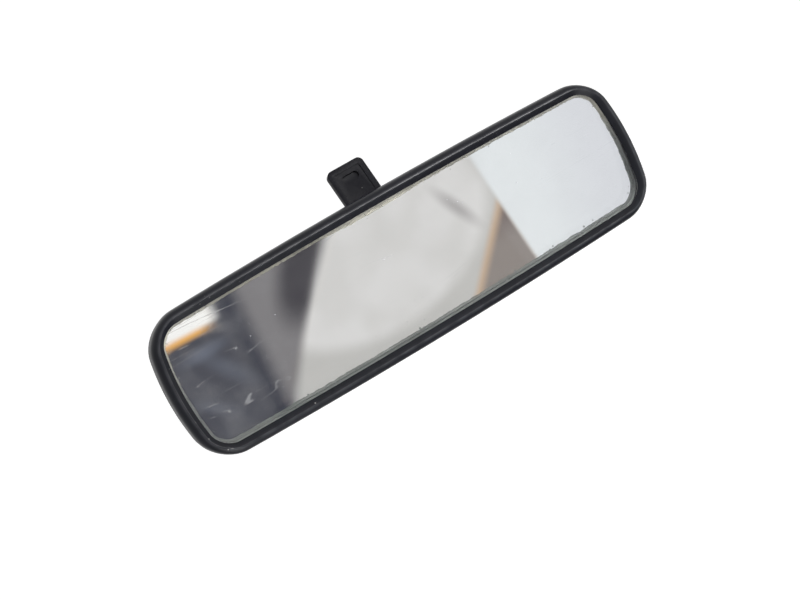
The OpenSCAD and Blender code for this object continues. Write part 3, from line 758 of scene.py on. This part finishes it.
class MIRROR_OT_bracket(bpy.types.Operator):
    """The pivot bracket with its stops, and the ring and screws that close the ball socket"""
    bl_idname = "mirror.bracket"
    bl_label = "Pivot bracket and socket"

    def execute(self, context):
        c = context.scene.mirror_colours
        nylon = moulded_plastic("bracket_nylon", c.nylon, 0.48, 2200.0, 0.03, dust=0.04)
        carried("pivot_bracket", "tilt_bracket", "bracket", "bracket_plastic", nylon, width=0.25)
        steel = plated_steel("ring_plating", tuple(c.steel), 0.26, (1.0, 0.06, 1.0))
        carried("socket_ring", "socket_clamp_ring", "bracket", "ring_steel", steel, width=0.3)
        fastener = plated_steel("fastener_plating", tuple(v * 0.85 for v in c.steel), 0.24, (1.0, 0.06, 1.0))
        carried("socket_screws", "cross_head_screws", "bracket", "fastener_steel", fastener, width=0.12)
        rubber = rubber_finish("stop_rubber", c.rubber)
        carried("day_stop_pads", "day_stop_studs", "bracket", "stop_rubber", rubber, width=0.3)
        carried("night_stop_pads", "night_stop_studs", "case", "stop_rubber", rubber, width=0.3)
        return {"FINISHED"}


class MIRROR_OT_lever(bpy.types.Operator):
    """The dipping lever with its sunk panel and grip, its pins, and the detent spring"""
    bl_idname = "mirror.lever"
    bl_label = "Lever and pins"

    def execute(self, context):
        c = context.scene.mirror_colours
        plastic = moulded_plastic("lever_plastic", c.lever, 0.36, 3000.0, 0.02, dust=0.03, wear_and_highlight=0.7,
                                  sheen=0.04)
        carried("dip_lever", "dip_tab", "lever", "lever_plastic", plastic, width=0.28, segments=3)
        across = (0.05, 1.0, 1.0)
        ground = plated_steel("ground_steel", tuple(min(1.0, v * 1.15) for v in c.steel), 0.18, across)
        for node, name, body in (("dip_hinge_pin", "hinge_rod", "case"), ("lever_pin", "lever_rod", "case"),
                                 ("crank_pin", "crank_rod", "lever")):
            carried(node, name, body, "pin_steel", ground, width=0.2)
        carried("detent_spring", "detent_leaf", "case", "spring_steel",
                plated_steel("spring_temper", tuple(v * 0.8 for v in c.steel), 0.22, across), width=0.06)
        return {"FINISHED"}


class MIRROR_OT_ball(bpy.types.Operator):
    """The ball stud, turned in one piece, with the plastic liner and the sprung cup round the ball"""
    bl_idname = "mirror.ball"
    bl_label = "Ball joint"

    def execute(self, context):
        c = context.scene.mirror_colours
        low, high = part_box("ball_stud")
        radius = (high.x - low.x) / 2
        neck, collar, shank = 3.6 * MM, 6.0 * MM, 3.0 * MM
        boss, top = 16 * MM, high.y - BALL.y
        # half outline of the turned part, from the front of the ball to the end of the shank
        bm = bmesh.new()
        meet = math.degrees(math.asin(neck / radius))
        turns = [math.radians(a * (180 - meet) / 40) for a in range(41)]
        outline = [(radius * math.sin(a), -radius * math.cos(a)) for a in turns]
        outline += [(neck, 8.5 * MM), (neck + 0.1 * MM, boss - 3 * MM), (neck + 0.6 * MM, boss - 2.3 * MM),
                    (collar - 0.5 * MM, boss - 2 * MM), (collar, boss - 1.6 * MM), (collar, boss - 0.3 * MM),
                    (collar - 0.3 * MM, boss), (shank, boss), (shank, top - 0.5 * MM), (shank - 0.5 * MM, top),
                    (0.0, top)]
        points = [bm.verts.new(BALL + Vector((r, y, 0))) for r, y in outline]
        lines = [bm.edges.new(pair) for pair in zip(points, points[1:])]
        bmesh.ops.spin(bm, geom=points + lines, cent=BALL, axis=(0, 1, 0), angle=math.tau, steps=72,
                       use_merge=True)
        bmesh.ops.remove_doubles(bm, verts=bm.verts, dist=0.005 * MM)
        bmesh.ops.recalc_face_normals(bm, faces=bm.faces)
        stud = new_object(bm, "turned_stud")
        finish_piece(stud, "foot",
                     [plated_steel("stud_plating", tuple(min(1.0, v * 1.3) for v in c.steel), 0.10,
                                   (1.0, 0.08, 1.0), 0.002)], ["ball_stud"], angle=30)
        carried("ball_liner", "ball_bearing_liner", "liner", "acetal",
                acetal_finish("liner_acetal", c.acetal), width=0.12)
        carried("clamp_cup", "sprung_cup", "cup", "spring_steel",
                plated_steel("cup_temper", tuple(v * 0.8 for v in c.steel), 0.22), width=0.12)
        return {"FINISHED"}


class MIRROR_OT_foot(bpy.types.Operator):
    """The cast arm with the shoe that slides over the windscreen button, and its clamping screw"""
    bl_idname = "mirror.foot"
    bl_label = "Foot and arm"

    def execute(self, context):
        c = context.scene.mirror_colours
        arm = eased_copy("foot_arm", "cast_arm")
        skin = arm.modifiers.new("casting", "REMESH")
        skin.mode, skin.voxel_size, skin.use_smooth_shade = "VOXEL", 0.42 * MM, True
        soft = arm.modifiers.new("soft edges", "SMOOTH")
        soft.factor, soft.iterations = 0.5, 3
        apply_modifiers(arm)
        paint = cast_paint("cast_paint", tuple(c.zinc))
        finish_piece(arm, "foot", [paint], ["foot_arm"], angle=80)
        fastener = plated_steel("clamp_plating", tuple(v * 0.85 for v in c.steel), 0.28)
        carried("clamp_screw", "hex_socket_screw", "foot", "fastener_steel", fastener, width=0.2)
        sintered = plated_steel("sintered_steel", tuple(v * 0.8 for v in c.steel), 0.42, depth=0.02)
        carried("mounting_button", "screen_button", "foot", "button_steel",
                sintered, width=0.4, sharp=20, segments=3)
        return {"FINISHED"}


# ---- Stage -----------------------------------------------------------------------------------------

# Where the main camera stands, from the middle of the head's front, and which way it looks and is held
CAMERA_PLACE = HEAD + Vector((0.29659, -0.79113, -0.08506))
CAMERA_RIGHT = Vector((-0.80984, -0.34719, 0.47288)).normalized()
CAMERA_UP = Vector((-0.48181, -0.06625, -0.87377)).normalized()
LENS = 90.0


class MIRROR_OT_stage(bpy.types.Operator):
    """The pale floor, the soft lights, the room that the glass reflects, and the camera"""
    bl_idname = "mirror.stage"
    bl_label = "Stage"

    def execute(self, context):
        self.floor(context)
        self.room()
        self.lights(context)
        eye = bpy.data.cameras.new("camera")
        eye.lens, eye.sensor_width, eye.sensor_fit = LENS, 36.0, "HORIZONTAL"
        eye.clip_start, eye.clip_end = 0.01, 60.0
        camera = bpy.data.objects.new("camera", eye)
        context.scene.collection.objects.link(camera)
        axes = Matrix((CAMERA_RIGHT, CAMERA_UP, CAMERA_RIGHT.cross(CAMERA_UP))).transposed()
        camera.matrix_world = Matrix.Translation(CAMERA_PLACE) @ axes.to_4x4()
        context.scene.camera = camera
        context.scene.view_settings.view_transform = "Standard"
        return {"FINISHED"}

    def floor(self, context):
        """A wide bowl: a flat floor that curves up into the backdrop."""
        bm = bmesh.new()
        drop, flat, curve, wall = -0.60, 2.4, 1.8, 2.6
        bend = [(flat + curve * math.sin(a), drop + curve * (1 - math.cos(a)))
                for a in [math.radians(t) for t in range(0, 91, 10)]]
        outline = [(0.0, drop), (flat / 2, drop)] + bend + [(flat + curve, drop + curve + wall)]
        points = [bm.verts.new((r, 0, z)) for r, z in outline]
        lines = [bm.edges.new(pair) for pair in zip(points, points[1:])]
        bmesh.ops.spin(bm, geom=points + lines, cent=(0, 0, 0), axis=(0, 0, 1), angle=math.tau, steps=72,
                       use_merge=True)
        bmesh.ops.remove_doubles(bm, verts=bm.verts, dist=0.001)
        bmesh.ops.recalc_face_normals(bm, faces=bm.faces)
        floor = new_object(bm, "floor")
        material, n, shader = new_material("floor_paper", **{"Specular_IOR_Level": 0.1})
        place = n.place()
        pale = tuple(context.scene.mirror_colours.floor)
        drift = n.ramp(n.noise(place, 1.5, 3.0), 0.3, 0.8)
        n.feed(shader.inputs["Base Color"], n.mix(drift, pale, tuple(v * 0.985 for v in pale)))
        n.feed(shader.inputs["Roughness"], n.ramp(drift, 0.0, 1.0, 0.9, 0.95))
        shader.inputs["Emission Color"].default_value = (1.0, 1.0, 1.0, 1.0)
        shader.inputs["Emission Strength"].default_value = 0.62
        floor.visible_diffuse = False
        floor.data.materials.append(material)
        floor.data.shade_smooth()

    def room(self):
        """A card on the driver's side, painted softly with what stands in the room, seen only by reflection."""
        s = bpy.context.scene.mirror_sizes
        tilt = s.wedge * GLASS_INDEX
        facing = Vector((0, -math.cos(tilt), math.sin(tilt)))
        centre = HEAD + Vector((0, 0.006, 0))
        behind = CAMERA_PLACE - 2 * (CAMERA_PLACE - centre).dot(facing) * facing
        away = HEAD.y - 1.25
        bm = bmesh.new()
        bmesh.ops.create_grid(bm, x_segments=24, y_segments=12, size=1.0)
        paint = bm.loops.layers.uv.new("glass")
        reach_x, reach_z = 0.36, 0.22
        spots = {v: (v.co.x * reach_x, v.co.y * reach_z) for v in bm.verts}
        for face in bm.faces:
            for corner in face.loops:
                corner[paint].uv = spots[corner.vert]
        for v, (x, z) in spots.items():
            seen = HEAD + Vector((x, 0.006, z))
            line = seen - behind
            v.co = seen + line * ((away - seen.y) / line.y)
        bmesh.ops.recalc_face_normals(bm, faces=bm.faces)
        card = new_object(bm, "room_card")
        material = bpy.data.materials.new("room_light")
        material.use_nodes = True
        tree = material.node_tree
        tree.nodes.clear()
        n = Nodes(tree)
        glow = n.add("ShaderNodeEmission", Strength=1.0)
        n.feed(glow.inputs["Color"], self.room_colour(n))
        n.feed(n.add("ShaderNodeOutputMaterial").inputs["Surface"], glow.outputs[0])
        card.data.materials.append(material)
        card.visible_camera = card.visible_diffuse = card.visible_shadow = False
        card.visible_volume_scatter = False

    def room_colour(self, n):
        """Broad soft shapes, placed in metres across the glass."""
        spot = n.add("ShaderNodeUVMap", {"uv_map": "glass"}).outputs[0]
        x, z = n.add("ShaderNodeSeparateXYZ", Vector=spot).outputs[:2]

        def srgb(r, g, b):
            return tuple(((v / 255 + 0.055) / 1.055) ** 2.4 for v in (r, g, b))

        def side(a, b, soft):
            """1 on the right-hand side of the line from a to b, in millimetres, with a soft edge."""
            ax, az, bx, bz = (v * MM for v in (*a, *b))
            size = math.hypot(bx - ax, bz - az)
            across, up = (bz - az) / size, -(bx - ax) / size
            far = n.plus(n.times(n.minus(x, ax), across),
                         n.times(n.minus(z, az), up))
            return n.ramp(far, -soft * MM, soft * MM)

        def both(*masks):
            total = masks[0]
            for mask in masks[1:]:
                total = n.times(total, mask)
            return total

        def patch(cx, cz, rx, rz, turn=0.0, core=0.0):
            """1 in the core of a soft oval patch, 0 outside it."""
            move = n.add("ShaderNodeMapping", {"vector_type": "TEXTURE"}, Vector=spot)
            move.inputs["Location"].default_value = (cx * MM, cz * MM, 0)
            move.inputs["Rotation"].default_value = (0, 0, math.radians(turn))
            move.inputs["Scale"].default_value = (rx * MM, rz * MM, 1)
            far = n.add("ShaderNodeVectorMath", {"operation": "LENGTH"})
            n.feed(far.inputs[0], move.outputs[0])
            return n.ramp(far.outputs["Value"], 1.0, core)

        tone = srgb(227, 226, 226)
        bands = n.noise(n.add("ShaderNodeMapping", Vector=spot).outputs[0], 42.0, 1.0)
        tone = n.mix(n.ramp(bands, 0.35, 0.7), tone, srgb(219, 218, 217))
        shade = n.mix(patch(12, -12, 66, 43, core=0.82), srgb(200, 199, 197), tone)
        return self.shapes(n, shade, side, both, patch, srgb, x, z)

    def shapes(self, n, shade, side, both, patch, srgb, x, z):
        """The things that stand in the room, from the left of the glass to the right."""
        past_sheet = side((-45.8, -27.0), (-55.0, 27.0), 1.6)
        fringe = both(side((-27.0, 27.0), (-49.5, 1.5), 2.2), past_sheet)
        shade = n.mix(n.times(fringe, 0.8), shade, srgb(204, 172, 140))
        post = both(side((-31.0, 27.0), (-52.0, 3.5), 2.6), past_sheet)
        shade = n.mix(post, shade, n.mix(n.ramp(z, 2 * MM, 22 * MM), srgb(112, 98, 96), srgb(146, 138, 134)))
        streak = patch(-31.0, -6.0, 5.0, 21, 30)
        shade = n.mix(n.times(streak, 0.6), shade, srgb(146, 142, 143))
        sheet = n.mix(n.ramp(x, -60 * MM, -110 * MM), srgb(232, 236, 239), srgb(221, 223, 229))
        shade = n.mix(past_sheet, sheet, shade)
        edge = n.minus(1.0, both(
            side((78.0, 27.0), (50.5, -3.0), 5.0), side((53.0, 2.0), (31.0, -30.0), 3.5)))
        shade = n.mix(edge, shade, srgb(130, 128, 131))
        dark = both(edge, patch(43, -17, 17, 32, -40, core=0.4))
        shade = n.mix(dark, shade, srgb(64, 62, 69))
        shade = n.mix(n.ramp(x, 70 * MM, 80 * MM), shade, srgb(58, 60, 72))
        for cx, cz, rx, rz, turn, share in ((92, 2, 6, 22, 38, 0.25), (104, 14, 4, 17, 52, 0.22),
                                            (98, -9, 16, 5, 0, 0.45)):
            shade = n.mix(n.times(patch(cx, cz, rx, rz, turn), share), shade, srgb(120, 128, 146))
        warm = both(side((82, -15.8), (118, -17.4), 1.6), n.ramp(x, 86 * MM, 97 * MM))
        shade = n.mix(warm, shade, srgb(238, 178, 92))
        window = both(side((82, -18.2), (118, -20.2), 1.7), n.ramp(x, 83 * MM, 91 * MM))
        return n.mix(window, shade, srgb(255, 254, 252))

    def lights(self, context):
        world = bpy.data.worlds.new("studio")
        world.use_nodes = True
        sky = world.node_tree.nodes["Background"]
        sky.inputs["Color"].default_value = (1.0, 1.0, 1.0, 1.0)
        sky.inputs["Strength"].default_value = 0.42
        context.scene.world = world
        for name, place, size, power in (
                ("key", (-0.5, -1.0, -0.55), (0.5, 0.3), 9.0),
                ("top", (0.3, -0.5, 1.4), (1.2, 1.2), 15.0),
                ("back", (-0.9, 1.3, 0.5), (1.2, 0.8), 12.0)):
            lamp = bpy.data.lights.new(name, "AREA")
            lamp.shape, lamp.size, lamp.size_y, lamp.energy = "RECTANGLE", *size, power
            light = bpy.data.objects.new(name, lamp)
            context.scene.collection.objects.link(light)
            light.location = place
            light.rotation_mode = "QUATERNION"
            light.rotation_quaternion = (HEAD - Vector(place)).to_track_quat("-Z", "Y")


# ---- Panel and start -------------------------------------------------------------------------------

PIECES = (MIRROR_OT_rim, MIRROR_OT_case, MIRROR_OT_glass, MIRROR_OT_bracket, MIRROR_OT_lever,
          MIRROR_OT_ball, MIRROR_OT_foot, MIRROR_OT_stage)


class MIRROR_PT_pieces(bpy.types.Panel):
    """Lists the pieces of the mirror and its sizes and colours"""
    bl_idname = "MIRROR_PT_pieces"
    bl_label = "Mirror"
    bl_space_type = "VIEW_3D"
    bl_region_type = "UI"
    bl_category = "Mirror"

    def draw(self, context):
        for piece in PIECES:
            self.layout.operator(piece.bl_idname)
        for group in (context.scene.mirror_sizes, context.scene.mirror_colours):
            box = self.layout.box()
            for key in group.bl_rna.properties.keys():
                if key not in ("rna_type", "name"):
                    box.prop(group, key)


CLASSES = (MirrorSizes, MirrorColours, *PIECES, MIRROR_PT_pieces)


def register():
    for cls in CLASSES:
        bpy.utils.register_class(cls)
    bpy.types.Scene.mirror_sizes = bpy.props.PointerProperty(type=MirrorSizes)
    bpy.types.Scene.mirror_colours = bpy.props.PointerProperty(type=MirrorColours)


def unregister():
    del bpy.types.Scene.mirror_colours
    del bpy.types.Scene.mirror_sizes
    for cls in reversed(CLASSES):
        bpy.utils.unregister_class(cls)


def main():
    """Builds every piece and the stage."""
    register()
    bpy.ops.mirror.rim()
    bpy.ops.mirror.case()
    bpy.ops.mirror.glass()
    bpy.ops.mirror.bracket()
    bpy.ops.mirror.lever()
    bpy.ops.mirror.ball()
    bpy.ops.mirror.foot()
    bpy.ops.mirror.stage()


if __name__ == "__main__":
    main()
